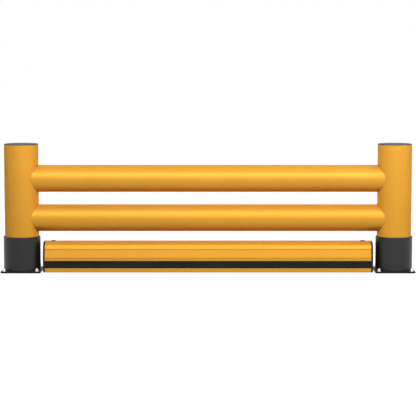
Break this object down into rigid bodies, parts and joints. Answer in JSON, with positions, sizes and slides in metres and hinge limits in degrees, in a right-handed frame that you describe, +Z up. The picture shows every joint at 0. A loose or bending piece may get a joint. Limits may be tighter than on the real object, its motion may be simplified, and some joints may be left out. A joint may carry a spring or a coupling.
{
  "type": "safety guard rail",
  "caption": "Industrial guard rail with round polymer posts in dark boots on bolted base plates, round rails and a low floor kerb with a dark strip.",
  "frame": {"origin": "on the floor, midway between the two posts", "axes": "+X along the rails, +Y to the rear, +Z up"},
  "size_m": [2.426, 0.234, 0.7515],
  "materials": {
    "yellow_rail": "semi-gloss moulded polymer",
    "yellow_post": "semi-gloss moulded polymer",
    "yellow_kerb": "satin extruded polymer",
    "grey_boot": "satin moulded",
    "black_cap": "satin moulded",
    "black_end_cap": "satin moulded",
    "black_strip": "matt extruded",
    "black_plate": "powder coat",
    "zinc_fasteners": "bright zinc plate",
    "galvanised_steel": "galvanised"
  },
  "bodies": {
    "root": {"kerb_body": "yellow_kerb", "kerb_front_strip": "black_strip", "kerb_left_end_cap": "black_end_cap", "kerb_nuts": "zinc_fasteners", "kerb_plugs": "black_end_cap", "kerb_rear_strip": "black_strip", "kerb_right_end_cap": "black_end_cap", "kerb_studs": "zinc_fasteners", "kerb_washers": "zinc_fasteners", "left_anchor_nuts": "zinc_fasteners", "left_anchor_studs": "zinc_fasteners", "left_anchor_washers": "zinc_fasteners", "left_base_plate": "black_plate", "left_boot": "grey_boot", "left_lock_pin": "galvanised_steel", "left_post_cap": "black_cap", "left_post_tube": "yellow_post", "left_spigot": "galvanised_steel", "lower_rail": "yellow_rail", "right_anchor_nuts": "zinc_fasteners", "right_anchor_studs": "zinc_fasteners", "right_anchor_washers": "zinc_fasteners", "right_base_plate": "black_plate", "right_boot": "grey_boot", "right_lock_pin": "galvanised_steel", "right_post_cap": "black_cap", "right_post_tube": "yellow_post", "right_spigot": "galvanised_steel", "upper_rail": "yellow_rail"}
  },
  "joints": []
}
